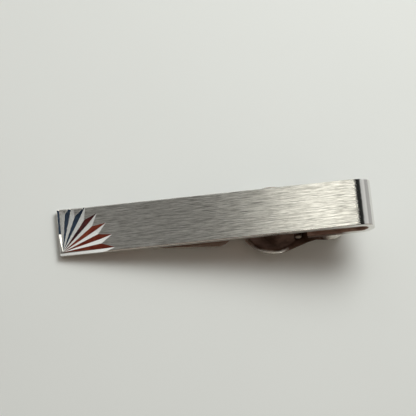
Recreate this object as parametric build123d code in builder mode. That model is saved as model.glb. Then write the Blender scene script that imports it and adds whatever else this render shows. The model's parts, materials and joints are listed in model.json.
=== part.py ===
from build123d import *
import os
from math import acos, atan2, cos, hypot, radians, sin, sqrt, tan

# Brushed tie bar with a sprung rear clip, in millimetres.
# X runs along the bar towards the fold, Y across it, +Z out of the front face.
# The origin is on the front face, midway along and across the bar.

# ---- driving dimensions -------------------------------------------------------------
bar_length = 57.2
bar_width = 8.8
strip_thickness = 1.2
fold_radius = 2.4  # outside radius of the fold
arm_end = 16.2  # X where the folded arm stops
edge_round = 0.12

fan_inset_x = 0.45  # the fan's centre, in from the bar's corner
fan_inset_y = 0.67
ray_count = 7
ray_step = 15.0  # degrees between rays
ray_reach = 9.55
shoulder_share = 0.75  # where a ray is widest, as a share of its reach
cut_depth = 0.3
film_thickness = 0.05

sheet = 0.5  # thickness of the stamped lever
pin_x = 14.6
pin_z = -4.9
pin_radius = 0.4
running_clearance = 0.05
head_radius = 0.6
head_height = 0.3

disc_x = 10.4
disc_radius = 6.4
disc_z = -5.65  # face of the disc's rim that looks at the bar
bowl_radius = 5.6
bowl_depth = 1.9

neck_half_width = 2.6
tongue_half_width = 4.3
tongue_corner = 3.4
tongue_contact_x = -12.6
tongue_gap = 0.05  # left between the closed tongue and the bar
tongue_back_x = 2.9
lip_length = 1.8
lip_rise = 0.55
bend_radius = 1.2

tail_start_x = 16.0
tail_half_width = 4.2
tail_end_x = 24.2
tail_slope = 23.0  # degrees away from the arm
flare_end_x = 18.0  # where the straight flare from the disc meets the tail

bracket_sheet = 0.4
bracket_half_width = 3.2
bracket_end_x = 20.4
ear_radius = 0.7
lever_ear_inner = 3.35
window_half_width = 1.6  # opening in the lever for the spring
window_start_x = 13.4
window_end_x = 17.6

wire = 0.4
coil_radius = 0.8  # centreline of the wire
coil_pitch = 0.42
whole_turns = 4
moving_leg_slope = 7.0  # degrees below the bar's line
moving_leg_length = 3.6
fixed_leg_slope = 45.0
fixed_leg_end_x = 18.9

# ---- worked out ---------------------------------------------------------------------
left_x = -bar_length / 2
fold_x = bar_length / 2 - fold_radius
half_width = bar_width / 2
arm_face_z = -2 * fold_radius
bar_back_z = -strip_thickness
fan_x = left_x + fan_inset_x
fan_y = -half_width + fan_inset_y
shoulder = shoulder_share * ray_reach
shoulder_half_width = shoulder * tan(radians(ray_step / 2))
tail_drop = (tail_end_x - tail_start_x) * tan(radians(tail_slope))
disc_edge_x = disc_x - disc_radius
bowl_sphere = (bowl_radius**2 + bowl_depth**2) / (2 * bowl_depth)
bowl_centre_z = disc_z - bowl_depth + bowl_sphere
flare_length = flare_end_x - disc_x
flare_turn = atan2(tail_half_width, flare_length) + acos(disc_radius / hypot(flare_length, tail_half_width))
flare_start_x = disc_x + disc_radius * cos(flare_turn)
flare_half_width = disc_radius * sin(flare_turn)
base_z = arm_face_z - bracket_sheet
head_gap = 0.1
pin_half_span = lever_ear_inner + sheet + head_gap

os.makedirs("parts", exist_ok=True)


def save(builder, name):
    """Label a finished piece and write it."""
    builder.part.label = name
    export_step(builder.part, "parts/" + name + ".step")


# ---- one V-cut of the fan -----------------------------------------------------------
def ray_plane(index, lift=0.0):
    """Plane at the fan's centre, X along the ray, lifted from the front face."""
    angle = radians(ray_step * index)
    return Plane(origin=(fan_x, fan_y, lift), x_dir=(cos(angle), sin(angle), 0), z_dir=(0, 0, 1))


def ray_cut(index, lift=0.0):
    """Kite-shaped pyramid that a ray's two facets leave, point down."""
    plane = ray_plane(index, lift)
    with BuildPart() as cut:
        with BuildSketch(plane) as kite:
            with BuildLine():
                Polyline(
                    (0, 0),
                    (shoulder, -shoulder_half_width),
                    (ray_reach, 0),
                    (shoulder, shoulder_half_width),
                    close=True,
                )
            make_face()
        apex = plane.from_local_coords((shoulder, 0, -cut_depth))
        loft(sections=[kite.sketch.face(), Vertex(apex)])
    return cut.part


# ---- the bar: face, fold and arm in one strip ----------------------------------------
with BuildPart() as bar_blank:
    with BuildSketch(Plane.XZ):
        with BuildLine():
            Polyline((fold_x, 0), (left_x, 0), (left_x, bar_back_z), (fold_x, bar_back_z))
            ThreePointArc(
                (fold_x, bar_back_z),
                (fold_x + fold_radius - strip_thickness, -fold_radius),
                (fold_x, arm_face_z + strip_thickness),
            )
            Polyline(
                (fold_x, arm_face_z + strip_thickness),
                (arm_end, arm_face_z + strip_thickness),
                (arm_end, arm_face_z),
                (fold_x, arm_face_z),
            )
            ThreePointArc((fold_x, arm_face_z), (bar_length / 2, -fold_radius), (fold_x, 0))
        make_face()
    extrude(amount=half_width, both=True)

with BuildPart() as front_bar:
    add(bar_blank.part)
    side_edges = front_bar.faces().filter_by(Axis.Y).edges()
    fillet(side_edges, edge_round)
    for ray in range(ray_count):
        add(ray_cut(ray), mode=Mode.SUBTRACT)
save(front_bar, "front_bar")


# ---- coloured film on the anticlockwise facet of each ray ----------------------------
def enamel_film(index):
    """Even film over one side of a V-cut, ending at the bar's edges."""
    angle = radians(ray_step * index)
    across = Plane(origin=(fan_x, fan_y, 0), x_dir=(cos(angle), sin(angle), 0), z_dir=(-sin(angle), cos(angle), 0))
    with BuildPart() as film:
        add(ray_cut(index))
        split(bisect_by=across, keep=Keep.TOP)
        add(ray_cut(index, film_thickness), mode=Mode.SUBTRACT)
        with BuildSketch(Plane.XY.offset(bar_back_z)):
            Rectangle(bar_length - 2 * edge_round, bar_width - 2 * edge_round)
        extrude(amount=strip_thickness, mode=Mode.INTERSECT)
    return film


for ray in range(ray_count):
    save(enamel_film(ray), f"enamel_ray_{ray + 1}")


# ---- hinge bracket brazed to the arm -------------------------------------------------
with BuildPart() as hinge_bracket:
    base_start = arm_end + bracket_sheet
    base_length = bracket_end_x - base_start
    with BuildSketch(Plane.XY.offset(base_z)):
        with Locations((base_start + base_length / 2, 0)):
            RectangleRounded(base_length, 2 * bracket_half_width, bracket_sheet)
    extrude(amount=bracket_sheet)
    for side in (1, -1):
        ear_y = side * (bracket_half_width - bracket_sheet / 2)
        with BuildSketch(Plane.XZ.offset(-ear_y)):
            with Locations((pin_x, pin_z)):
                Circle(ear_radius)
            with BuildLine():
                Polyline(
                    (pin_x, pin_z - ear_radius),
                    (arm_end - bracket_sheet / 2, base_z),
                    (base_start + base_length / 2, base_z),
                    (base_start + base_length / 2, arm_face_z),
                    (arm_end - bracket_sheet / 2, arm_face_z),
                    (pin_x, pin_z + ear_radius),
                    close=True,
                )
            make_face()
        extrude(amount=bracket_sheet / 2, both=True)
    with BuildSketch(Plane.XZ):
        with Locations((pin_x, pin_z)):
            Circle(pin_radius)
    extrude(amount=half_width, both=True, mode=Mode.SUBTRACT)
save(hinge_bracket, "hinge_bracket")

# ---- hinge pin with a peened dome at each end ----------------------------------------
with BuildPart() as hinge_pin:
    with BuildSketch(Plane.XZ):
        with Locations((pin_x, pin_z)):
            Circle(pin_radius)
    extrude(amount=pin_half_span, both=True)
    for side in (1, -1):
        outward = Plane(origin=(pin_x, side * pin_half_span, pin_z), x_dir=(1, 0, 0), z_dir=(0, side, 0))
        with BuildSketch(outward):
            Circle(head_radius)
        extrude(amount=head_height)
        outer_face = hinge_pin.faces().sort_by(Axis.Y)[-1 if side > 0 else 0]
        fillet(outer_face.edges(), head_height * 0.9)
save(hinge_pin, "hinge_pin")

# ---- rear lever: thumb tail, dished disc, neck and tongue ----------------------------
def bowl_section(skin):
    """Half section of the bowl's sphere, skin thicker all round, closed at the rim's level."""
    radius = bowl_sphere + skin
    foot_z = disc_z - skin
    reach_x = disc_x + sqrt(radius**2 - (bowl_centre_z - foot_z) ** 2)
    bottom = (disc_x, bowl_centre_z - radius)
    RadiusArc(bottom, (reach_x, foot_z), -radius)
    if skin:
        Line((reach_x, foot_z), (reach_x, disc_z))
    Polyline((reach_x, disc_z), (disc_x, disc_z), bottom)


contact_z = bar_back_z - tongue_gap
half_sheet = sheet / 2
with BuildPart() as rear_lever:
    with BuildSketch(Plane.XZ):
        with BuildLine():
            FilletPolyline(
                (tongue_contact_x - lip_length, contact_z - half_sheet - lip_rise),
                (tongue_contact_x, contact_z - half_sheet),
                (disc_edge_x, disc_z - half_sheet),
                (tail_start_x, disc_z - half_sheet),
                (tail_end_x, disc_z - half_sheet - tail_drop),
                radius=bend_radius,
            )
        trace(line_width=sheet)
    extrude(amount=disc_radius + sheet, both=True)
    with BuildSketch(Plane.XY.offset(disc_z - tail_drop - sheet)):
        tongue_length = tongue_back_x - tongue_contact_x + lip_length
        tail_length = tail_end_x - disc_x
        with Locations((tongue_back_x - tongue_length / 2, 0)):
            RectangleRounded(tongue_length, 2 * tongue_half_width, tongue_corner)
        with Locations((disc_edge_x, 0)):
            Rectangle(2 * bowl_radius, 2 * neck_half_width)
        with Locations((disc_x + tail_length / 2, 0)):
            RectangleRounded(tail_length, 2 * tail_half_width, tail_half_width - sheet / 4)
        with Locations((disc_x, 0)):
            Circle(disc_radius)
        with BuildLine():
            Polyline(
                (flare_start_x, flare_half_width),
                (flare_end_x, tail_half_width),
                (flare_end_x, -tail_half_width),
                (flare_start_x, -flare_half_width),
                close=True,
            )
        make_face()
    extrude(amount=abs(disc_z) + tail_drop, mode=Mode.INTERSECT)
    # bowl pressed down inside the rim, a shell between two spheres
    with BuildSketch(Plane.XZ):
        with BuildLine():
            bowl_section(sheet)
        make_face()
    revolve(axis=Axis((disc_x, 0, 0), (0, 0, 1)))
    with BuildSketch(Plane.XZ):
        with BuildLine():
            bowl_section(0)
        make_face()
    revolve(axis=Axis((disc_x, 0, 0), (0, 0, 1)), mode=Mode.SUBTRACT)
    # ears raised from the rim to carry the pin
    for side in (1, -1):
        ear_y = side * (lever_ear_inner + half_sheet)
        with BuildSketch(Plane.XZ.offset(-ear_y)):
            with Locations((pin_x, pin_z)):
                Circle(ear_radius)
            with BuildLine():
                Polyline(
                    (pin_x - ear_radius, pin_z),
                    (pin_x - ear_radius, disc_z - bowl_depth / 2),
                    (pin_x + ear_radius, disc_z - half_sheet),
                    (pin_x + ear_radius, pin_z),
                    close=True,
                )
            make_face()
        extrude(amount=half_sheet, both=True)
    with BuildSketch(Plane.XZ):
        with Locations((pin_x, pin_z)):
            Circle(pin_radius + running_clearance)
    extrude(amount=disc_radius, both=True, mode=Mode.SUBTRACT)
    # window that the spring sits in
    with BuildSketch(Plane.XY.offset(disc_z + half_sheet)):
        with Locations(((window_start_x + window_end_x) / 2, 0)):
            RectangleRounded(window_end_x - window_start_x, 2 * window_half_width, half_sheet)
    extrude(amount=-2 * bowl_depth, mode=Mode.SUBTRACT)
save(rear_lever, "rear_lever")

# ---- torsion spring on the pin -------------------------------------------------------
sweep_turn = 180 + fixed_leg_slope - moving_leg_slope
coil_length = coil_pitch * (whole_turns + sweep_turn / 360)
slope = radians(moving_leg_slope)
leg_start = (-sin(slope), 0, -cos(slope))  # from the pin's axis to the coil's first point
coil_base = Plane(origin=(pin_x, -coil_length / 2, pin_z), x_dir=leg_start, z_dir=(0, 1, 0))
wire_radius = wire / 2
fixed_leg_z = base_z - wire_radius - running_clearance / 2
with BuildPart() as torsion_spring:
    with BuildLine() as coil_line:
        add(coil_base.location * Helix(coil_pitch, coil_length, coil_radius, mode=Mode.PRIVATE))
    with BuildSketch(Plane(origin=coil_line.line @ 0, z_dir=coil_line.line % 0)):
        Circle(wire_radius)
    sweep(path=coil_line.line)
    moving_leg = Plane(origin=coil_line.line @ 0, z_dir=(cos(slope), 0, -sin(slope)))
    with BuildSketch(moving_leg):
        Circle(wire_radius)
    extrude(amount=moving_leg_length)
    leg_root = coil_line.line @ 1
    rise = radians(fixed_leg_slope)
    elbow_x = leg_root.X + (leg_root.Z - fixed_leg_z) / tan(rise)
    with BuildLine() as fixed_leg:
        FilletPolyline(
            leg_root,
            (elbow_x, leg_root.Y, fixed_leg_z),
            (fixed_leg_end_x, leg_root.Y, fixed_leg_z),
            radius=wire,
        )
    with BuildSketch(Plane(origin=leg_root, z_dir=fixed_leg.line % 0)):
        Circle(wire_radius)
    sweep(path=fixed_leg.line)
save(torsion_spring, "torsion_spring")
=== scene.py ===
import json
from math import acos, atan, cos, hypot, pi, radians, sin, sqrt, tan

import bmesh
import bpy
from mathutils import Matrix, Vector


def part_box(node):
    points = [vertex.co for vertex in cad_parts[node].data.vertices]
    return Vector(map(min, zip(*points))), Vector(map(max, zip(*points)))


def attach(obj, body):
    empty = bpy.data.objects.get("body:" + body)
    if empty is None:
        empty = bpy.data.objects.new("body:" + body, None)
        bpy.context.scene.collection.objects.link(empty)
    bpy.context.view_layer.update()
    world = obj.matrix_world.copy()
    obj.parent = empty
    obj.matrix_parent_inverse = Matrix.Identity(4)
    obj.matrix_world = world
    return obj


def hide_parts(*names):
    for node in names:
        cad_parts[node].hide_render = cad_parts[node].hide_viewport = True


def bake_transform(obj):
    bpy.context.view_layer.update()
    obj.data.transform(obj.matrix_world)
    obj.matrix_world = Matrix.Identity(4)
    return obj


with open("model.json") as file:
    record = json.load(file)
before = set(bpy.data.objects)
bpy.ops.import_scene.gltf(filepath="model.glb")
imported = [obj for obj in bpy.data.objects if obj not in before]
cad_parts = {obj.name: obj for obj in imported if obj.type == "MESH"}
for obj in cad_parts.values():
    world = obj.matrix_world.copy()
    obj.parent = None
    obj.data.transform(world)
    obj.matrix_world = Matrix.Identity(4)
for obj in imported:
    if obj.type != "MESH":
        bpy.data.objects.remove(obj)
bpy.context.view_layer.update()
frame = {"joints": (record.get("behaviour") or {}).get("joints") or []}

# Brushed tie bar with a sprung rear clip. X runs along the bar towards the fold, Y across it,
# and +Z out of the front face. Lengths are in metres; MM turns millimetres into metres.
MM = 0.001

# ---- sizes: boxes and the hinge line come from the frame, the rest repeats the CAD ------------
BAR_LOW, BAR_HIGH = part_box("front_bar")
LEVER_LOW, LEVER_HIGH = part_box("rear_lever")
PIN_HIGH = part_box("hinge_pin")[1]
BRACKET_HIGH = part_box("hinge_bracket")[1]
SPRING_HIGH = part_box("torsion_spring")[1]
HINGE = Vector(frame["joints"][0]["pos_m"])

STRIP = 1.2 * MM
FOLD_RADIUS = (BAR_HIGH.z - BAR_LOW.z) / 2
FOLD_X = BAR_HIGH.x - FOLD_RADIUS
ARM_END = HINGE.x + 1.6 * MM
HALF_WIDTH = BAR_HIGH.y
BAR_ROUND = 0.14 * MM
# The fold leaves the flat face this much early, along a superellipse of this power.
SOFT_START = 1.2 * MM
SHOULDER_POWER = 2.6

# The fan: V-cuts that meet at one point by the corner, each widest at its shoulder.
FAN_X = BAR_LOW.x + 0.45 * MM
FAN_Y = BAR_LOW.y + 0.67 * MM
RAY_COUNT = 7
RAY_STEP = 15.0
RAY_REACH = 9.55 * MM
RAY_ROOT = 0.06 * MM
SHOULDER = 0.75 * RAY_REACH
SHOULDER_HALF = SHOULDER * tan(radians(RAY_STEP / 2)) - 0.015 * MM
CUT_DEPTH = 0.3 * MM
FILM_INSET = 0.02
FILM_LIFT = 0.012 * MM
FILM_TOP = -0.001 * MM

SHEET = 0.5 * MM
DISC_RADIUS = LEVER_HIGH.y
DISC_X = HINGE.x - 4.2 * MM
DISC_Z = HINGE.z - 0.75 * MM
BOWL_RADIUS = 5.6 * MM
BOWL_DEPTH = 1.9 * MM
TONGUE_TIP = LEVER_LOW.x
TAIL_END = LEVER_HIGH.x
TONGUE_BACK = 2.9 * MM
TONGUE_HALF = 4.3 * MM
TONGUE_CORNER = 3.4 * MM
NECK_HALF = 2.6 * MM
TAIL_HALF = 4.2 * MM
CONTACT_X = -12.6 * MM
TAIL_START = 16.0 * MM
TAIL_SLOPE = tan(radians(23))
LIP_DROP = 0.55 * MM
BEND_REACH = 0.5 * MM
WINDOW_START = 13.4 * MM
WINDOW_END = 17.6 * MM
WINDOW_HALF = 1.6 * MM
# Behind the disc the sheet narrows in a straight line from the disc's edge to the tail's width.
FLARE_END = 18.0 * MM
FLARE_RUN = FLARE_END - DISC_X
FLARE_TURN = atan(TAIL_HALF / FLARE_RUN) + acos(DISC_RADIUS / hypot(TAIL_HALF, FLARE_RUN))
FLARE_START = DISC_X + DISC_RADIUS * cos(FLARE_TURN)
FLARE_HALF = DISC_RADIUS * sin(FLARE_TURN)

EAR_RADIUS = 0.7 * MM
LEVER_EAR_Y = 3.35 * MM
LEVER_EAR_HOLE = 0.45 * MM
BRACKET_SHEET = 0.4 * MM
PIN_RADIUS = 0.4 * MM
PIN_DOME = 0.3 * MM
WIRE_RADIUS = 0.2 * MM
COIL_RADIUS = 0.8 * MM
COIL_PITCH = 0.42 * MM
SPRING_LEG = 3.6 * MM
SPRING_BEND = 0.17 * MM


# ---- small mesh helpers -------------------------------------------------------------------
def add_object(name, mesh):
    """Puts a mesh in the scene as an object at the origin."""
    made = bpy.data.objects.new(name, mesh)
    bpy.context.scene.collection.objects.link(made)
    return made


def face_outward(mesh):
    """Turns every face of a closed mesh outward."""
    work = bmesh.new()
    work.from_mesh(mesh)
    bmesh.ops.recalc_face_normals(work, faces=work.faces)
    work.to_mesh(mesh)
    work.free()


def mesh_from(name, points, faces):
    """A mesh object from its points and faces, with outward normals."""
    mesh = bpy.data.meshes.new(name)
    mesh.from_pydata([tuple(p) for p in points], [], faces)
    face_outward(mesh)
    return add_object(name, mesh)


def apply_modifiers(piece):
    """Keeps what the modifiers make as the piece's own mesh."""
    graph = bpy.context.evaluated_depsgraph_get()
    made = bpy.data.meshes.new_from_object(piece.evaluated_get(graph))
    piece.modifiers.clear()
    piece.data = made


def bevel(piece, width, segments=2, angle=40):
    """Rounds the piece's edges that are sharper than angle, in degrees."""
    modifier = piece.modifiers.new("round", "BEVEL")
    modifier.width = width
    modifier.segments = segments
    modifier.limit_method = "ANGLE"
    modifier.angle_limit = radians(angle)
    apply_modifiers(piece)


def cut(piece, cutter):
    """Takes the cutter out of the piece, both enlarged so that fine edges stay apart."""
    larger = Matrix.Scale(1 / MM, 4)
    piece.data.transform(larger)
    cutter.data.transform(larger)
    modifier = piece.modifiers.new("cut", "BOOLEAN")
    modifier.object = cutter
    modifier.operation = "DIFFERENCE"
    modifier.solver = "MANIFOLD"
    apply_modifiers(piece)
    piece.data.transform(larger.inverted())
    bpy.data.objects.remove(cutter)


def shade(piece, angle):
    """Smooth shading, with edges sharper than angle, in degrees, kept crisp."""
    work = bmesh.new()
    work.from_mesh(piece.data)
    limit = radians(angle)
    for face in work.faces:
        face.smooth = True
    for edge in work.edges:
        if len(edge.link_faces) == 2:
            edge.smooth = edge.calc_face_angle(0) < limit
    work.to_mesh(piece.data)
    work.free()


def join(name, parts):
    """One object from several bare meshes."""
    work = bmesh.new()
    for part in parts:
        part.data.transform(part.matrix_world)
        work.from_mesh(part.data)
    mesh = bpy.data.meshes.new(name)
    work.to_mesh(mesh)
    work.free()
    for part in parts:
        bpy.data.objects.remove(part)
    return add_object(name, mesh)


def prism(name, outline, low, high, place):
    """A flat outline (a list of 2D points) given thickness from low to high, placed by a function."""
    count = len(outline)
    points = [place(a, b, low) for a, b in outline]
    points += [place(a, b, high) for a, b in outline]
    faces = [list(range(count)), list(range(count, 2 * count))]
    for i in range(count):
        j = (i + 1) % count
        faces.append([i, j, count + j, count + i])
    return mesh_from(name, points, faces)


def arc(centre, radius, start, end, steps):
    """Points along an arc in 2D, from start to end in degrees."""
    points = []
    for i in range(steps + 1):
        angle = radians(start + (end - start) * i / steps)
        points.append((centre[0] + radius * cos(angle), centre[1] + radius * sin(angle)))
    return points


def side_on(a, b, depth):
    """Places an outline drawn in X and Z, with its thickness along Y."""
    return (a, depth, b)


def face_on(a, b, depth):
    """Places an outline drawn in X and Y, with its thickness along Z."""
    return (a, b, depth)


def ring_faces(rings, sides):
    """Faces that join rings of points into a tube and close its two ends."""
    faces = []
    for i in range(rings - 1):
        for k in range(sides):
            n = (k + 1) % sides
            faces.append([i * sides + k, i * sides + n, (i + 1) * sides + n, (i + 1) * sides + k])
    faces.append(list(range(sides)))
    last = (rings - 1) * sides
    faces.append(list(range(last, last + sides)))
    return faces


def tube(name, path, radius, sides=14):
    """A round wire along a path of points, closed at both ends."""
    points = []
    side = Vector((0, 1, 0))
    for i, point in enumerate(path):
        ahead = path[min(i + 1, len(path) - 1)] - path[max(i - 1, 0)]
        ahead.normalize()
        side = (side - ahead * side.dot(ahead)).normalized()
        up = ahead.cross(side)
        for k in range(sides):
            turn = 2 * pi * k / sides
            points.append(point + (side * cos(turn) + up * sin(turn)) * radius)
    return mesh_from(name, points, ring_faces(len(path), sides))


# ---- material helpers ----------------------------------------------------------------------
def fill_ramp(node, stops):
    """Sets a colour ramp's stops, given as (position, colour)."""
    elements = node.color_ramp.elements
    while len(elements) < len(stops):
        elements.new(0.5)
    for element, (position, colour) in zip(elements, stops):
        element.position = position
        element.color = (*colour, 1.0)


class Material:
    """A node material: add() makes a node, link() joins an output to an input."""

    def __init__(self, name):
        self.made = bpy.data.materials.new(name)
        self.made.use_nodes = True
        self.tree = self.made.node_tree
        self.shader = self.tree.nodes["Principled BSDF"]

    def add(self, kind, **settings):
        made = self.tree.nodes.new("ShaderNode" + kind)
        for key, value in settings.items():
            setattr(made, key, value)
        return made

    def link(self, source, target):
        self.tree.links.new(source, target)

    def drive(self, socket, source):
        """Links source to one of the main shader's sockets."""
        self.link(source, self.shader.inputs[socket])

    def stretched(self, x, y, z):
        """Object coordinates scaled so that one noise cell is x by y by z millimetres."""
        where = self.add("TexCoord")
        scale = self.add("Mapping")
        scale.inputs["Scale"].default_value = (1 / (x * MM), 1 / (y * MM), 1 / (z * MM))
        self.link(where.outputs["Object"], scale.inputs["Vector"])
        return scale.outputs["Vector"]

    def position(self):
        """The object coordinates, as outputs X, Y and Z."""
        where = self.add("TexCoord")
        split = self.add("SeparateXYZ")
        self.link(where.outputs["Object"], split.inputs["Vector"])
        return split.outputs

    def noise(self, vector, detail=3.0, rough=0.55, distortion=0.0):
        made = self.add("TexNoise")
        made.inputs["Scale"].default_value = 1.0
        made.inputs["Detail"].default_value = detail
        made.inputs["Roughness"].default_value = rough
        made.inputs["Distortion"].default_value = distortion
        self.link(vector, made.inputs["Vector"])
        return made.outputs["Fac"]

    def ramp(self, value, stops):
        """Colour ramp: stops are (position, colour)."""
        made = self.add("ValToRGB")
        fill_ramp(made, stops)
        self.link(value, made.inputs["Fac"])
        return made.outputs["Color"]

    def remap(self, value, low, high, to_low, to_high):
        """Value from low to high turned into to_low to to_high, and held there beyond both ends."""
        made = self.add("MapRange")
        made.inputs["From Min"].default_value = low
        made.inputs["From Max"].default_value = high
        made.inputs["To Min"].default_value = to_low
        made.inputs["To Max"].default_value = to_high
        self.link(value, made.inputs["Value"])
        return made.outputs["Result"]

    def maths(self, operation, first, second=0.0):
        made = self.add("Math", operation=operation)
        for socket, value in zip(made.inputs, (first, second)):
            if isinstance(value, (int, float)):
                socket.default_value = value
            else:
                self.link(value, socket)
        return made.outputs["Value"]

    def ragged(self, cloud, reach):
        """A noise about one half turned into a distance about zero, to make an edge uneven."""
        return self.maths("MULTIPLY", self.maths("SUBTRACT", cloud, 0.5), reach)

    def mix(self, factor, first, second):
        made = self.add("Mix", data_type="RGBA")
        sockets = (made.inputs[0], made.inputs[6], made.inputs[7])
        for socket, value in zip(sockets, (factor, first, second)):
            if isinstance(value, tuple):
                socket.default_value = (*value, 1.0)
            else:
                self.link(value, socket)
        return made.outputs[2]

    def bump(self, height, strength, distance, below=None):
        made = self.add("Bump")
        made.inputs["Strength"].default_value = strength
        made.inputs["Distance"].default_value = distance
        self.link(height, made.inputs["Height"])
        if below is not None:
            self.link(below, made.inputs["Normal"])
        return made.outputs["Normal"]

    def set(self, **values):
        """Constants on the main shader's own sockets, with _ for a space."""
        for socket, value in values.items():
            self.shader.inputs[socket.replace("_", " ")].default_value = value


# ---- materials -------------------------------------------------------------------------------
def brushed_metal():
    """Face of the bar: long fine grain along X, ending in a polish where the fold starts."""
    m = Material("brushed_silver")
    fine = m.noise(m.stretched(2.2, 0.12, 0.5), detail=3, rough=0.7)
    broad = m.noise(m.stretched(5.0, 0.24, 0.5), detail=3, rough=0.6, distortion=0.1)
    streak = m.maths("ADD", m.maths("MULTIPLY", fine, 0.6), m.maths("MULTIPLY", broad, 0.4))
    dark, middle, bright = (0.26, 0.25, 0.23), (0.70, 0.69, 0.65), (1.0, 0.99, 0.95)
    tone = m.ramp(streak, [(0.36, dark), (0.5, middle), (0.61, bright)])
    cloud = m.noise(m.stretched(9.0, 7.0, 9.0), detail=2)
    tone = m.mix(m.remap(cloud, 0.35, 0.7, 0.0, 0.12), tone, (0.56, 0.54, 0.49))
    along = m.position()["X"]
    edge = m.maths("ADD", along, m.ragged(streak, 4.5 * MM))
    polished = m.remap(edge, FOLD_X - 0.6 * MM, FOLD_X - 0.4 * MM, 0.0, 1.0)
    brushed = m.maths("SUBTRACT", 1.0, polished)
    m.drive("Base Color", m.mix(polished, tone, (0.80, 0.79, 0.77)))
    rough = m.remap(streak, 0.3, 0.7, 0.38, 0.28)
    m.drive("Roughness", m.maths("ADD", m.maths("MULTIPLY", rough, brushed), 0.05))
    grain = m.bump(m.maths("MULTIPLY", streak, brushed), 0.7, 0.030 * MM)
    pits = m.noise(m.stretched(0.42, 0.42, 0.42), detail=4, rough=0.7)
    near_grain = m.remap(along, FOLD_X - 0.2 * MM, FOLD_X + 0.9 * MM, 1.0, 0.06)
    mottle = m.maths("MULTIPLY", m.maths("MULTIPLY", pits, near_grain), polished)
    m.drive("Normal", m.bump(mottle, 0.9, 0.02 * MM, below=grain))
    m.set(Metallic=1.0, Anisotropic=0.85)
    across = m.add("Tangent", direction_type="UV_MAP", uv_map="across_grain")
    m.drive("Tangent", across.outputs["Tangent"])
    return m.made


def tarnish_cloud(m):
    """Soft noise that tarnish follows."""
    return m.noise(m.stretched(2.6, 2.6, 2.6), detail=4, rough=0.6)


def tarnished(m, cloud, colour, dull):
    """Metal colour, dulled where the cloud is strong."""
    return m.mix(m.remap(cloud, 0.38, 0.72, 0.0, 0.75), colour, dull)


def scratched(m, strength):
    """Bumps of fine random scratches."""
    grit = m.noise(m.stretched(0.9, 0.12, 0.3), detail=4, rough=0.7)
    m.drive("Normal", m.bump(grit, strength, 0.006 * MM))


def plated_metal(name, colour, dull, rough, scratches):
    """Small plated or steel parts: soft clouds of tarnish and fine random scratches."""
    m = Material(name)
    cloud = tarnish_cloud(m)
    m.drive("Base Color", tarnished(m, cloud, colour, dull))
    m.drive("Roughness", m.remap(cloud, 0.3, 0.7, rough, rough + 0.14))
    scratched(m, scratches)
    m.set(Metallic=1.0)
    return m.made


def polished_metal():
    """The bar's edges, back and fold: bright, with a brown painted reflection of dark surroundings along
    the arm near the hinge.
    """
    m = Material("polished_silver")
    cloud = tarnish_cloud(m)
    tone = tarnished(m, cloud, (0.82, 0.81, 0.78), (0.62, 0.59, 0.54))
    # The brown (0.16, 0.085, 0.06) mixed in here is a painted reflection of dark surroundings along the
    # arm near the hinge.
    m.drive("Base Color", m.mix(arm_painted_reflection(m, cloud), tone, (0.16, 0.085, 0.06)))
    m.drive("Roughness", m.remap(cloud, 0.3, 0.7, 0.10, 0.24))
    scratched(m, 0.25)
    m.set(Metallic=1.0)
    return m.made


def arm_painted_reflection(m, cloud):
    """How much painted reflection the rear arm gets: brown standing in for the dark surroundings it
    mirrors, full near the hinge, none near the fold.
    """
    where = m.position()
    edge = m.maths("ADD", where["X"], m.ragged(cloud, 3.0 * MM))
    along = m.remap(edge, FOLD_X - 3.6 * MM, FOLD_X - 2.2 * MM, 1.0, 0.0)
    on_arm = m.remap(where["Z"], -FOLD_RADIUS, -FOLD_RADIUS - 0.4 * MM, 0.0, 1.0)
    return m.maths("MULTIPLY", along, on_arm)


def clip_metal():
    """The clip's plating, with brown painted shade, made dull as well, in the disc's bowl and about the
    hinge.
    """
    m = Material("clip_silver")
    cloud = tarnish_cloud(m)
    tone = tarnished(m, cloud, (0.74, 0.72, 0.68), (0.42, 0.36, 0.30))
    painted_shade_amount = clip_painted_shade(m, cloud)
    # Painted shade colours: dark browns standing in for shadow and dark reflections in the bowl and
    # about the hinge.
    painted_shade_colour = m.ramp(cloud, [(0.35, (0.055, 0.030, 0.020)), (0.65, (0.16, 0.10, 0.075))])
    m.drive("Base Color", m.mix(painted_shade_amount, tone, painted_shade_colour))
    dull = m.maths("MULTIPLY", painted_shade_amount, 0.28)
    m.drive("Roughness", m.maths("ADD", m.remap(cloud, 0.3, 0.7, 0.14, 0.28), dull))
    scratched(m, 0.35)
    m.set(Metallic=1.0)
    return m.made


def clip_painted_shade(m, cloud):
    """How much painted shade the clip gets: inside the bowl on its upper side, for the bar's shadow and
    the dark underside it mirrors, and near the hinge but not beneath, for the shade between the parts.
    """
    where = m.position()
    along = m.maths("SUBTRACT", where["X"], DISC_X)
    across = m.maths("ABSOLUTE", where["Y"])
    squares = m.maths("ADD", m.maths("MULTIPLY", along, along), m.maths("POWER", across, 2.0))
    from_middle = m.maths("ADD", m.maths("SQRT", squares), m.ragged(cloud, 0.9 * MM))
    in_bowl = m.remap(from_middle, BOWL_RADIUS + 0.2 * MM, BOWL_RADIUS + 0.75 * MM, 1.0, 0.0)
    facing = m.add("NewGeometry")
    way = m.add("SeparateXYZ")
    m.link(facing.outputs["Normal"], way.inputs["Vector"])
    upper = m.remap(way.outputs["Z"], 0.0, 0.3, 0.0, 1.0)
    not_below = m.remap(way.outputs["Z"], -0.7, -0.3, 0.0, 1.0)
    from_hinge = m.maths("ABSOLUTE", m.maths("SUBTRACT", where["X"], HINGE.x + 1.2 * MM))
    edge = m.maths("ADD", from_hinge, m.ragged(cloud, 4.0 * MM))
    near_hinge = m.remap(edge, 3.0 * MM, 4.4 * MM, 1.0, 0.0)
    at_hinge = m.maths("MULTIPLY", near_hinge, not_below)
    return m.maths("MAXIMUM", m.maths("MULTIPLY", in_bowl, upper), at_hinge)


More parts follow.
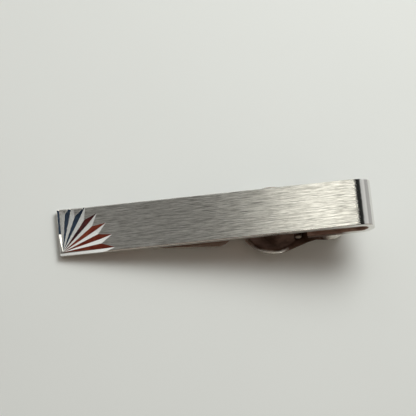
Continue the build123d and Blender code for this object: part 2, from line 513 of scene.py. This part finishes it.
def painted_gap_reflection():
    """Inner faces of the fold, in the gap between the strip and the arm: brown, dull, uneven, the brown
    a painted reflection of the dim warm light in that gap.
    """
    m = Material("gap_reflection_silver")
    cloud = m.noise(m.stretched(2.2, 1.4, 1.4), detail=4, rough=0.6)
    m.drive("Base Color", m.ramp(cloud, [(0.32, (0.34, 0.22, 0.18)), (0.68, (0.62, 0.46, 0.38))]))
    m.drive("Roughness", m.remap(cloud, 0.3, 0.7, 0.60, 0.46))
    grit = m.noise(m.stretched(0.5, 0.2, 0.3), detail=4, rough=0.7)
    m.drive("Normal", m.bump(grit, 0.4, 0.008 * MM))
    m.set(Metallic=0.45)
    return m.made


def bright_cut():
    """Facets left by the cutting tool: near mirror, with fine tool lines."""
    m = Material("bright_cut_silver")
    lines = m.noise(m.stretched(0.7, 0.7, 0.05), detail=3, rough=0.6)
    m.drive("Base Color", m.ramp(lines, [(0.3, (0.80, 0.79, 0.76)), (0.7, (0.93, 0.92, 0.89))]))
    m.drive("Roughness", m.remap(lines, 0.3, 0.7, 0.16, 0.28))
    m.drive("Normal", m.bump(lines, 0.2, 0.008 * MM))
    m.set(Metallic=1.0)
    return m.made


def enamel(name, deep, light):
    """Thin lacquer over cut metal: darker where it pooled, lighter where it wore."""
    m = Material(name)
    pooled = m.noise(m.stretched(1.6, 1.6, 0.6), detail=4, rough=0.6)
    m.drive("Base Color", m.ramp(pooled, [(0.32, deep), (0.68, light)]))
    m.drive("Roughness", m.remap(pooled, 0.3, 0.7, 0.26, 0.38))
    m.drive("Normal", m.bump(pooled, 0.15, 0.01 * MM))
    m.set(Metallic=0.12, Specular_IOR_Level=0.16)
    return m.made


BRUSHED = brushed_metal()
POLISHED = polished_metal()
CLIP = clip_metal()
GAP_REFLECTION = painted_gap_reflection()
# The pin's colours are darkened as painted shade, so that its head reads as the dark spot at the hinge.
PIN_PAINTED_DARK = plated_metal("pin_steel_painted_dark", (0.34, 0.29, 0.25), (0.12, 0.09, 0.07), 0.34, 0.5)
SPRING_STEEL = plated_metal("spring_steel", (0.46, 0.45, 0.44), (0.26, 0.24, 0.22), 0.30, 0.6)
BRIGHT_CUT = bright_cut()
RED = enamel("red_lacquer", (0.13, 0.016, 0.012), (0.25, 0.060, 0.032))
MAROON = enamel("maroon_lacquer", (0.004, 0.002, 0.006), (0.11, 0.022, 0.020))
NAVY = enamel("navy_lacquer", (0.005, 0.010, 0.024), (0.022, 0.040, 0.066))

# Each ray's lacquer and slot, counted anticlockwise from the ray along the bar's lower edge.
FILMS = [(RED, "red_enamel")] * 3 + [(MAROON, "maroon_enamel")] + [(NAVY, "navy_enamel")] * 3


def finish_piece(piece, body, slot, *nodes):
    """Rides the piece on its body and hides the CAD nodes it stands for."""
    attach(piece, body)
    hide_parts(*nodes)


# ---- the bar: face, fold and arm, with the fan cut in one corner ----------------------------
def soft_shoulder(steps=34):
    """Side view of the fold's front quarter, which leaves the flat face more gently than an arc does."""
    start = FOLD_X - SOFT_START
    reach = BAR_HIGH.x - start
    points = []
    for i in range(steps + 1):
        angle = radians(90 - 90 * i / steps)
        across = reach * max(cos(angle), 0.0) ** (2 / SHOULDER_POWER)
        height = FOLD_RADIUS * (max(sin(angle), 0.0) ** (2 / SHOULDER_POWER) - 1)
        points.append((start + across, height))
    return points


def bar_outline():
    """Side view of the folded strip, in X and Z."""
    centre = (FOLD_X, -FOLD_RADIUS)
    outer = soft_shoulder() + arc(centre, FOLD_RADIUS, 0, -90, 28)[1:]
    inner = arc(centre, FOLD_RADIUS - STRIP, -90, 90, 36)
    front_end = [(BAR_LOW.x, -STRIP), (BAR_LOW.x, 0.0)]
    arm_tip = [(ARM_END, BAR_LOW.z), (ARM_END, BAR_LOW.z + STRIP)]
    return outer + arm_tip + inner + front_end


def ray_points(index):
    """A ray's kite on the front face and the bottom of its cut: centre, left, tip, right, low."""
    turn = Matrix.Rotation(radians(RAY_STEP * index), 3, "Z")
    corner = Vector((FAN_X, FAN_Y, 0))
    local = [
        (RAY_ROOT, 0, 0),
        (SHOULDER, SHOULDER_HALF, 0),
        (RAY_REACH, 0, 0),
        (SHOULDER, -SHOULDER_HALF, 0),
        (SHOULDER, 0, -CUT_DEPTH),
    ]
    return [corner + turn @ Vector(p) for p in local]


def ray_cutter(index):
    """The pyramid that the cutting tool takes out, carried on above the face."""
    above_face = 1.6
    *kite, low = ray_points(index)
    if index == 0:
        kite += corner_run_out()
    raised = [low + (p - low) * above_face for p in kite]
    tip = len(kite)
    faces = [[i, (i + 1) % tip, tip] for i in range(tip)]
    faces += [[0, i, i + 1] for i in range(1, tip - 1)]
    return mesh_from("cutter", raised + [low], faces)


def corner_run_out():
    """Where the first ray runs off the bar's corner: a point on the face and one in the groove."""
    corner = Vector((FAN_X, FAN_Y, 0))
    on_face = corner + Vector((-0.8 * MM, -0.78 * MM, 0))
    in_groove = corner + Vector((-0.8 * MM, -0.04 * MM, -0.19 * MM))
    return [on_face, in_groove]


def metal_of(centre, normal):
    """Which metal one face of the bar shows, from where it is and which way it faces."""
    on_front = normal.z > 0.3 and centre.z > -0.6 * STRIP
    sunk = centre.z < -0.004 * MM and centre.x < FAN_X + RAY_REACH
    tilted = 0.5 < normal.z < 0.9995
    rim = BAR_ROUND + 0.02 * MM
    inside = abs(centre.y) < HALF_WIDTH - rim and centre.x > BAR_LOW.x + rim
    from_fold = hypot(max(centre.x - FOLD_X, 0.0), centre.z + FOLD_RADIUS)
    # Faces inside the fold's gap get the brown painted reflection.
    if abs(normal.y) < 0.3 and abs(from_fold - FOLD_RADIUS + STRIP) < 0.02 * MM:
        return GAP_REFLECTION
    if on_front and inside and sunk and tilted:
        return BRIGHT_CUT
    if on_front and inside or centre.x > FOLD_X and normal.z > 0.05:
        return BRUSHED
    return POLISHED


def mark_bar_faces(bar):
    """Gives each face its metal, and the mesh a tangent map across the grain."""
    mesh = bar.data
    metals = [BRUSHED, POLISHED, BRIGHT_CUT, GAP_REFLECTION]
    mesh.materials.clear()
    for material in metals:
        mesh.materials.append(material)
    for face in mesh.polygons:
        face.material_index = metals.index(metal_of(face.center, face.normal))
    layer = mesh.uv_layers.new(name="across_grain")
    for loop in mesh.loops:
        point = mesh.vertices[loop.vertex_index].co
        layer.data[loop.index].uv = (point.y * 100, -point.x * 100)


def build_bar():
    bar = prism("front_bar_brushed", bar_outline(), -HALF_WIDTH, HALF_WIDTH, side_on)
    bevel(bar, BAR_ROUND, segments=3)
    for index in range(RAY_COUNT):
        cut(bar, ray_cutter(index))
    shade(bar, 12)
    mark_bar_faces(bar)
    finish_piece(bar, "bar", "bar_metal", "front_bar")


def film_trims(index):
    """Planes, as a point and an outward direction, that the film stops at."""
    left, up = Vector((-1, 0, 0)), Vector((0, 1, 0))
    trims = [
        (Vector((BAR_LOW.x + 0.03 * MM, 0, 0)), left),
        (Vector((0, HALF_WIDTH - 0.08 * MM, 0)), up),
    ]
    if index == RAY_COUNT - 1:
        bare_up_to = FAN_Y + 0.48 * SHOULDER
        trims.append((Vector((0, bare_up_to, 0)), -up))
    return trims


def trim(work, point, outward):
    """Cuts a closed bmesh at a plane, drops what is beyond it and closes the opening."""
    whole = work.verts[:] + work.edges[:] + work.faces[:]
    made = bmesh.ops.bisect_plane(work, geom=whole, plane_co=point, plane_no=outward, clear_outer=True)
    rim = [e for e in made["geom_cut"] if isinstance(e, bmesh.types.BMEdge)]
    if rim:
        bmesh.ops.holes_fill(work, edges=rim, sides=0)


def build_film(index, material, slot):
    """Lacquer on the anticlockwise facet of one ray, trimmed inside the bar's edges."""
    centre, left, tip, _, low = ray_points(index)
    facet = [centre, low, tip, left]
    middle = sum(facet, Vector()) / 4
    under = [p + (middle - p) * FILM_INSET for p in facet]
    over = [Vector((p.x, p.y, min(p.z + FILM_LIFT, FILM_TOP))) for p in under]
    faces = [[0, 1, 3], [1, 2, 3], [4, 5, 7], [5, 6, 7]]
    for a, b in ((0, 1), (1, 2), (2, 3), (3, 0)):
        faces.append([a, b, b + 4, a + 4])
    film = mesh_from(f"enamel_film_{index + 1}", under + over, faces)
    work = bmesh.new()
    work.from_mesh(film.data)
    for point, outward in film_trims(index):
        trim(work, point, outward)
    bmesh.ops.subdivide_edges(work, edges=work.edges[:], cuts=3, use_grid_fill=True)
    bmesh.ops.recalc_face_normals(work, faces=work.faces)
    work.to_mesh(film.data)
    work.free()
    film.data.materials.append(material)
    finish_piece(film, "bar", slot, f"enamel_ray_{index + 1}")


# ---- the rear lever ------------------------------------------------------------------------
def rounded_half_width(x, start, end, half, corner):
    """Half width at x of a rounded rectangle along X, or 0 outside it."""
    if not start <= x <= end:
        return 0.0
    past = max(start + corner - x, x - (end - corner), 0.0)
    return half - corner + sqrt(max(corner**2 - past**2, 0.0))


def lever_half_width(x):
    """Half width of the stamped lever at x."""
    widths = [
        rounded_half_width(x, TONGUE_TIP, TONGUE_BACK, TONGUE_HALF, TONGUE_CORNER),
        rounded_half_width(x, DISC_X, TAIL_END, TAIL_HALF, TAIL_HALF - 0.15 * MM),
        sqrt(max(DISC_RADIUS**2 - (x - DISC_X) ** 2, 0.0)),
    ]
    if 0 < x < DISC_X:
        widths.append(NECK_HALF)
    if FLARE_START < x < FLARE_END:
        share = (x - FLARE_START) / (FLARE_END - FLARE_START)
        widths.append(FLARE_HALF + (TAIL_HALF - FLARE_HALF) * share)
    return max(widths)


def blend_corner(x, corner, before, after):
    """Height at x of two straight runs of given slopes that meet at corner, rounded where they meet."""
    if x < corner - BEND_REACH:
        return before * (x - corner)
    if x > corner + BEND_REACH:
        return after * (x - corner)
    t = (x - corner + BEND_REACH) / (2 * BEND_REACH)
    start, end = -before * BEND_REACH, after * BEND_REACH
    return start * (1 - t) ** 2 + end * t**2


def lever_mid_height(x, y):
    """Height of the middle of the lever's sheet at a point."""
    level = DISC_Z - SHEET / 2
    contact = -STRIP - 0.05 * MM - SHEET / 2
    root = DISC_X - DISC_RADIUS
    rise = (level - contact) / (root - CONTACT_X)
    lip = LIP_DROP / (CONTACT_X - TONGUE_TIP)
    height = level
    height += blend_corner(x, root, rise, 0.0)
    height += blend_corner(x, TAIL_START, 0.0, -TAIL_SLOPE)
    height += blend_corner(x, CONTACT_X, lip - rise, 0.0)
    sphere = (BOWL_RADIUS**2 + BOWL_DEPTH**2) / (2 * BOWL_DEPTH)
    centre_z = DISC_Z - BOWL_DEPTH + sphere
    out = hypot(x - DISC_X, y)
    middle_radius = sphere + SHEET / 2
    bowl = centre_z - sqrt(max(middle_radius**2 - out**2, 0.0))
    soft = 0.10 * MM
    gap = height - bowl
    if gap > soft:
        return bowl
    if gap < -soft:
        return height
    return height - (gap + soft) ** 2 / (4 * soft)


def lever_stations():
    """X stations along the lever, close together where its ends are round."""
    stations = []
    end_steps = 28
    for i in range(end_steps):
        turn = radians(90 * i / end_steps)
        stations.append(TONGUE_TIP + TONGUE_CORNER * (1 - cos(turn)))
        stations.append(TAIL_END - TAIL_HALF * (1 - cos(turn)))
    start, end = TONGUE_TIP + TONGUE_CORNER, TAIL_END - TAIL_HALF
    count = 190
    stations += [start + (end - start) * i / count for i in range(count + 1)]
    return sorted(set(round(s, 7) for s in stations))


def lever_sheet():
    """The stamped sheet with its bowl and bends, before the ears."""
    columns = 72
    stations = lever_stations()
    points, faces = [], []
    for x in stations:
        half = max(lever_half_width(x), 0.05 * MM)
        for j in range(columns + 1):
            y = half * (2 * j / columns - 1)
            points.append((x, y, lever_mid_height(x, y)))
    row = columns + 1
    for i in range(len(stations) - 1):
        for j in range(columns):
            a = i * row + j
            faces.append([a, a + 1, a + row + 1, a + row])
    sheet = mesh_from("lever_sheet", points, faces)
    thick = sheet.modifiers.new("thick", "SOLIDIFY")
    thick.thickness = SHEET
    thick.offset = 0.0
    thick.use_even_offset = True
    apply_modifiers(sheet)
    face_outward(sheet.data)
    return sheet


def build_lever():
    sheet = lever_sheet()
    window = [
        (WINDOW_START, -WINDOW_HALF),
        (WINDOW_END, -WINDOW_HALF),
        (WINDOW_END, WINDOW_HALF),
        (WINDOW_START, WINDOW_HALF),
    ]
    cut(sheet, prism("window", window, DISC_Z - 2 * BOWL_DEPTH, DISC_Z + SHEET, face_on))
    bevel(sheet, 0.09 * MM, angle=50)
    parts = [sheet]
    for side in (1, -1):
        parts.append(lever_ear(side * LEVER_EAR_Y, side * (LEVER_EAR_Y + SHEET)))
    lever = join("rear_lever_polished", parts)
    lever.data.materials.append(CLIP)
    shade(lever, 34)
    finish_piece(lever, "lever", "clip_metal", "rear_lever")


def lever_ear(inner, outer):
    """Tab rounded about the pin, with the pin's hole. Its disc side reaches further down."""
    disc_foot, tail_foot = DISC_Z - 0.95 * MM, DISC_Z - SHEET / 2
    outline = arc((HINGE.x, HINGE.z), EAR_RADIUS, 0, 180, 24)
    outline += [(HINGE.x - EAR_RADIUS, disc_foot), (HINGE.x + EAR_RADIUS, tail_foot)]
    low, high = sorted((inner, outer))
    ear = prism("lever_ear", outline, low, high, side_on)
    cut(ear, pin_bore(LEVER_EAR_HOLE, low, high))
    bevel(ear, 0.07 * MM)
    return ear


def pin_bore(radius, low, high):
    """A round bar about the hinge line, longer than the ear from low to high that it cuts."""
    outline = arc((HINGE.x, HINGE.z), radius, 0, 345, 23)
    return prism("bore", outline, low - MM, high + MM, side_on)


# ---- hinge bracket, pin and spring -----------------------------------------------------------
def rounded_rectangle(low_x, high_x, half, corner, steps=6):
    """Outline of a rectangle along X with round corners."""
    points = arc((high_x - corner, half - corner), corner, 0, 90, steps)
    points += arc((low_x + corner, half - corner), corner, 90, 180, steps)
    points += arc((low_x + corner, corner - half), corner, 180, 270, steps)
    points += arc((high_x - corner, corner - half), corner, 270, 360, steps)
    return points


def build_bracket():
    base_z = BAR_LOW.z - BRACKET_SHEET
    base_start = ARM_END + BRACKET_SHEET
    outline = rounded_rectangle(base_start, BRACKET_HIGH.x, BRACKET_HIGH.y, BRACKET_SHEET)
    base = prism("base", outline, base_z, BAR_LOW.z, face_on)
    bevel(base, 0.06 * MM)
    parts = [base]
    for side in (1, -1):
        parts.append(bracket_ear(side * BRACKET_HIGH.y, side * (BRACKET_HIGH.y - BRACKET_SHEET)))
    bracket = join("hinge_bracket_plated", parts)
    bracket.data.materials.append(CLIP)
    shade(bracket, 34)
    finish_piece(bracket, "bar", "clip_metal", "hinge_bracket")


def bracket_ear(outer, inner):
    """Tab from the bracket's base, rounded about the pin, with the pin's hole."""
    base_z = BAR_LOW.z - BRACKET_SHEET
    near = ARM_END - BRACKET_SHEET / 2
    far = (ARM_END + BRACKET_SHEET + BRACKET_HIGH.x) / 2
    outline = arc((HINGE.x, HINGE.z), EAR_RADIUS, 60, 270, 28)
    outline += [(near, base_z), (far, base_z), (far, BAR_LOW.z), (near, BAR_LOW.z)]
    low, high = sorted((outer, inner))
    ear = prism("ear", outline, low, high, side_on)
    cut(ear, pin_bore(PIN_RADIUS, low, high))
    bevel(ear, 0.06 * MM)
    return ear


def pin_profile():
    """Half the pin's outline, as distance along it and radius: shank, seat and domed head."""
    head = PIN_HIGH.x - HINGE.x
    seat = PIN_HIGH.y - PIN_DOME
    profile = [(0.0, PIN_RADIUS), (seat, PIN_RADIUS), (seat, head)]
    steps = 8
    for i in range(1, steps + 1):
        turn = radians(90 * i / steps)
        profile.append((seat + PIN_DOME * sin(turn), max(head * cos(turn), 0.004 * MM)))
    return profile


def build_pin():
    """Pin turned about the hinge line, with a dome peened over at each end."""
    half = pin_profile()
    profile = [(-y, r) for y, r in reversed(half[1:])] + half
    sides = 36
    points = []
    for y, r in profile:
        for k in range(sides):
            turn = 2 * pi * k / sides
            points.append((HINGE.x + r * cos(turn), y, HINGE.z + r * sin(turn)))
    pin = mesh_from("hinge_pin_peened", points, ring_faces(len(profile), sides))
    pin.data.materials.append(PIN_PAINTED_DARK)
    shade(pin, 40)
    finish_piece(pin, "bar", "pin_metal", "hinge_pin")


def rounded_corner(start, corner, end, steps):
    """Points after start along a curve that leaves and arrives in line with the corner."""
    points = []
    for i in range(1, steps + 1):
        t = i / steps
        points.append(start * (1 - t) ** 2 + corner * 2 * t * (1 - t) + end * t**2)
    return points


def spring_path(moving_slope, fixed_slope, turns):
    """The wire's middle line: moving leg, coil about the pin, then the fixed leg along the bracket."""
    length = COIL_PITCH * turns

    def on_coil(share):
        """Point on the coil, share 0 at the moving leg and 1 at the fixed leg."""
        turn = share * turns * 2 * pi + moving_slope
        across = length * (share - 0.5)
        return Vector((HINGE.x - COIL_RADIUS * sin(turn), across, HINGE.z - COIL_RADIUS * cos(turn)))

    leg = Vector((cos(moving_slope), 0, -sin(moving_slope))) * SPRING_LEG
    path = [on_coil(0) + leg * (1 - i / 8) for i in range(8)]
    coil_steps = 150
    path += [on_coil(i / coil_steps) for i in range(coil_steps + 1)]
    root = on_coil(1)
    rest_z = BAR_LOW.z - BRACKET_SHEET - WIRE_RADIUS - 0.025 * MM
    elbow = Vector((root.x + (root.z - rest_z) / tan(fixed_slope), root.y, rest_z))
    far = Vector((SPRING_HIGH.x, root.y, rest_z))
    bend_start = elbow - (elbow - root).normalized() * SPRING_BEND
    bend_end = elbow + (far - elbow).normalized() * SPRING_BEND
    path += [root.lerp(bend_start, i / 4) for i in range(1, 5)]
    path += rounded_corner(bend_start, elbow, bend_end, 6)
    path += [bend_end.lerp(far, i / 8) for i in range(1, 9)]
    return path


def build_spring():
    """Coil on the pin, one leg on the lever's tail and one under the bracket."""
    moving_slope, fixed_slope = radians(7), radians(45)
    turns = 4 + (pi + fixed_slope - moving_slope) / (2 * pi)
    spring = tube("torsion_spring_wire", spring_path(moving_slope, fixed_slope, turns), WIRE_RADIUS)
    spring.data.materials.append(SPRING_STEEL)
    shade(spring, 40)
    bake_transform(spring)
    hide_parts("torsion_spring")


# ---- floor, light and camera -------------------------------------------------------------------
def table_plane():
    """The table's normal and a point on it: the bar's open end and the bowl's bottom both rest there."""
    sphere = (BOWL_RADIUS**2 + BOWL_DEPTH**2) / (2 * BOWL_DEPTH) + SHEET
    centre = Vector((DISC_X, 0, DISC_Z - BOWL_DEPTH + sphere - SHEET))
    corner = Vector((BAR_LOW.x, 0, -STRIP))
    reach = centre - corner
    lean = atan(reach.z / reach.x) - atan(sphere / sqrt(reach.length_squared - sphere**2))
    return Vector((-sin(lean), 0, cos(lean))), corner


def table_material():
    """Pale matt table, clear to the camera from underneath so that the clip can be seen from there."""
    m = Material("pale_table")
    cloud = m.noise(m.stretched(60, 60, 60), detail=3)
    m.drive("Base Color", m.ramp(cloud, [(0.3, (0.800, 0.812, 0.785)), (0.7, (0.815, 0.827, 0.800))]))
    m.set(Roughness=0.75)
    clear = m.add("BsdfTransparent")
    either = m.add("MixShader")
    ray = m.add("LightPath")
    side = m.add("NewGeometry")
    from_below = m.maths("MULTIPLY", side.outputs["Backfacing"], ray.outputs["Is Camera Ray"])
    m.link(from_below, either.inputs["Fac"])
    m.link(m.shader.outputs["BSDF"], either.inputs[1])
    m.link(clear.outputs["BSDF"], either.inputs[2])
    m.link(either.outputs["Shader"], m.tree.nodes["Material Output"].inputs["Surface"])
    return m.made


def build_floor():
    normal, corner = table_plane()
    size = 0.6
    turn = normal.to_track_quat("Z", "Y").to_matrix()
    place = corner - normal * 0.02 * MM
    corners = ((-size, -size), (size, -size), (size, size), (-size, size))
    points = [place + turn @ Vector((x, y, 0)) for x, y in corners]
    floor = mesh_from("table_top", points, [[0, 1, 2, 3]])
    if floor.data.polygons[0].normal.z < 0:
        floor.data.flip_normals()
    floor.data.materials.append(table_material())


def soft_light(name, place, target, size, power, colour):
    """A rectangular soft box at place, aimed at target, that the camera doesn't see."""
    data = bpy.data.lights.new(name, "AREA")
    data.shape = "RECTANGLE"
    data.size, data.size_y = size
    data.energy = power
    data.color = colour
    lamp = bpy.data.objects.new(name, data)
    lamp.location = place
    lamp.rotation_mode = "QUATERNION"
    lamp.rotation_quaternion = (Vector(target) - Vector(place)).to_track_quat("-Z", "Y")
    lamp.visible_camera = False
    bpy.context.scene.collection.objects.link(lamp)
    return lamp


def grey(level):
    return (level, level, level)


# Room light: factors over each component of the direction, from -1 to 1, multiplied together.
# Down to up: dim overhead.
HEIGHT_LIGHT = [
    (0.0, grey(0.90)),
    (0.62, grey(0.85)),
    (0.80, grey(0.52)),
    (0.92, grey(0.285)),
    (1.0, grey(0.25)),
]
# Viewer's side to far side: dim and warm near the viewer, pale beyond.
DEPTH_LIGHT = [
    (-0.35, (0.46, 0.37, 0.30)),
    (0.05, (0.62, 0.58, 0.54)),
    (0.45, (1.0, 1.02, 1.0)),
]
# Open end to fold: a dark gap, then bright again, which the polished fold mirrors as a dark band.
SIDE_LIGHT = [
    (-0.58, grey(0.62)),
    (-0.42, grey(0.66)),
    (-0.18, grey(1.0)),
    (0.015, grey(1.0)),
    (0.04, grey(0.09)),
    (0.43, grey(0.09)),
    (0.49, grey(1.3)),
    (0.74, grey(0.95)),
    (0.84, grey(0.55)),
    (0.94, grey(0.60)),
]


def direction_ramp(tree, value, stops):
    """Colour ramp in the world's nodes over a direction's component, which runs from -1 to 1."""
    spread = tree.nodes.new("ShaderNodeMapRange")
    spread.inputs["From Min"].default_value = -1.0
    tree.links.new(value, spread.inputs["Value"])
    ramp = tree.nodes.new("ShaderNodeValToRGB")
    fill_ramp(ramp, [((position + 1) / 2, colour) for position, colour in stops])
    tree.links.new(spread.outputs["Result"], ramp.inputs["Fac"])
    return ramp.outputs["Color"]


def product(tree, first, second):
    """Two colours multiplied in the world's nodes."""
    made = tree.nodes.new("ShaderNodeMix")
    made.data_type = "RGBA"
    made.blend_type = "MULTIPLY"
    made.inputs[0].default_value = 1.0
    tree.links.new(first, made.inputs[6])
    tree.links.new(second, made.inputs[7])
    return made.outputs[2]


def studio_world():
    """Plain room light from HEIGHT_LIGHT, DEPTH_LIGHT and SIDE_LIGHT."""
    world = bpy.data.worlds.new("studio")
    bpy.context.scene.world = world
    world.use_nodes = True
    tree = world.node_tree
    where = tree.nodes.new("ShaderNodeTexCoord")
    split = tree.nodes.new("ShaderNodeSeparateXYZ")
    tree.links.new(where.outputs["Generated"], split.inputs["Vector"])
    height = direction_ramp(tree, split.outputs["Z"], HEIGHT_LIGHT)
    depth = direction_ramp(tree, split.outputs["Y"], DEPTH_LIGHT)
    side = direction_ramp(tree, split.outputs["X"], SIDE_LIGHT)
    whole = product(tree, product(tree, height, depth), side)
    tree.links.new(whole, tree.nodes["Background"].inputs["Color"])
    tree.nodes["Background"].inputs["Strength"].default_value = 1.0


def build_light():
    """A strip seen only as a sheen on the brushed face, and a window that gives light and shadow."""
    studio_world()
    strip = soft_light(
        "strip",
        place=(0.0262, 0.026, 0.080),
        target=(0.0252, 0.0, 0.0),
        size=(0.017, 0.10),
        power=0.0132,
        colour=(1.0, 0.985, 0.90),
    )
    strip.visible_diffuse = False
    window = soft_light(
        "window",
        place=(0.180, 0.20, 0.262),
        target=(0, 0, 0),
        size=(0.24, 0.22),
        power=1.10,
        colour=(1.0, 1.03, 1.02),
    )
    window.visible_glossy = False


def build_camera():
    """Long lens, high over the bar's lower edge, rolled so that the bar climbs to the right."""
    rise, roll, distance = radians(72), radians(6.0), 0.55
    image_width, pixels_per_mm = 416, 5.52
    along = Vector((1, 0, 0))
    up_bar = Vector((0, sin(rise), cos(rise)))
    back = Vector((0, -cos(rise), sin(rise)))
    right = along * cos(roll) - up_bar * sin(roll)
    up = along * sin(roll) + up_bar * cos(roll)
    width = image_width / pixels_per_mm * MM
    target = right * (-1.36 * MM) + up * (1.56 * MM)
    data = bpy.data.cameras.new("camera")
    data.sensor_width = 36
    data.lens = data.sensor_width * distance / width
    data.clip_start, data.clip_end = 0.01, 10
    camera = bpy.data.objects.new("camera", data)
    turn = Matrix((right, up, back)).transposed().to_4x4()
    camera.matrix_world = Matrix.Translation(target + back * distance) @ turn
    bpy.context.scene.collection.objects.link(camera)
    bpy.context.scene.camera = camera


build_bar()
for ray, (lacquer, film_slot) in enumerate(FILMS):
    build_film(ray, lacquer, film_slot)
build_lever()
build_bracket()
build_pin()
build_spring()
build_floor()
build_light()
build_camera()
bpy.context.scene.view_settings.view_transform = "Standard"
